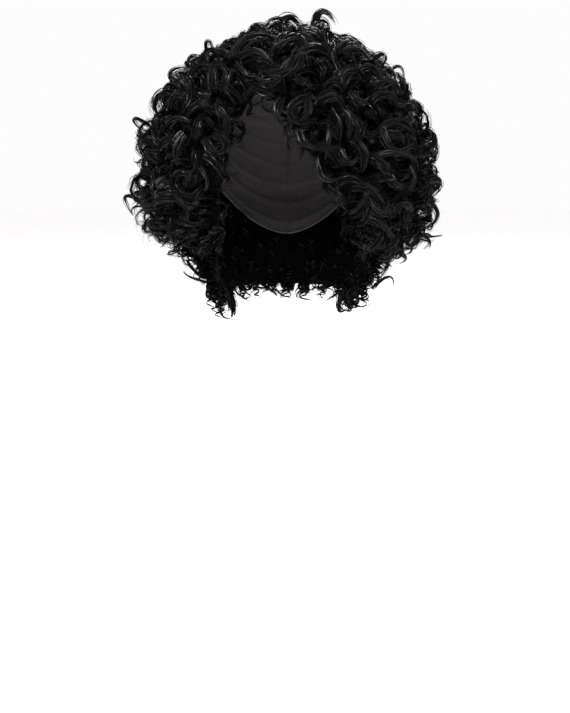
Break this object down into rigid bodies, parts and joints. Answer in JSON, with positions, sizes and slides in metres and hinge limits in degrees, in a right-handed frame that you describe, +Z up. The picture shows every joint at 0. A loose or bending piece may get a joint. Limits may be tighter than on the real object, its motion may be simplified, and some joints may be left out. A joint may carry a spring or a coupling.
{
  "type": "curly wig",
  "caption": "Short tousled curly wig: a hollow stretch-net cap with sewn-on sections of loose curls, an off-centre parting, a swept fringe, wide sides over the ears and a short nape.",
  "frame": {"origin": "middle of the wearer's head at the level where a hat band sits", "axes": "+Z up through the crown, -Y out through the face opening, +X towards the wearer's left"},
  "size_m": [0.2904, 0.2742, 0.2616],
  "materials": {
    "hair": "soft sheen fibre",
    "cap_net": "matt net"
  },
  "bodies": {
    "root": {"cap": "cap_net", "crown_curls": "hair", "fringe_left": "hair", "fringe_right": "hair", "side_curls_left": "hair", "side_curls_right": "hair", "back_curls": "hair", "nape_curls": "hair"}
  },
  "joints": []
}
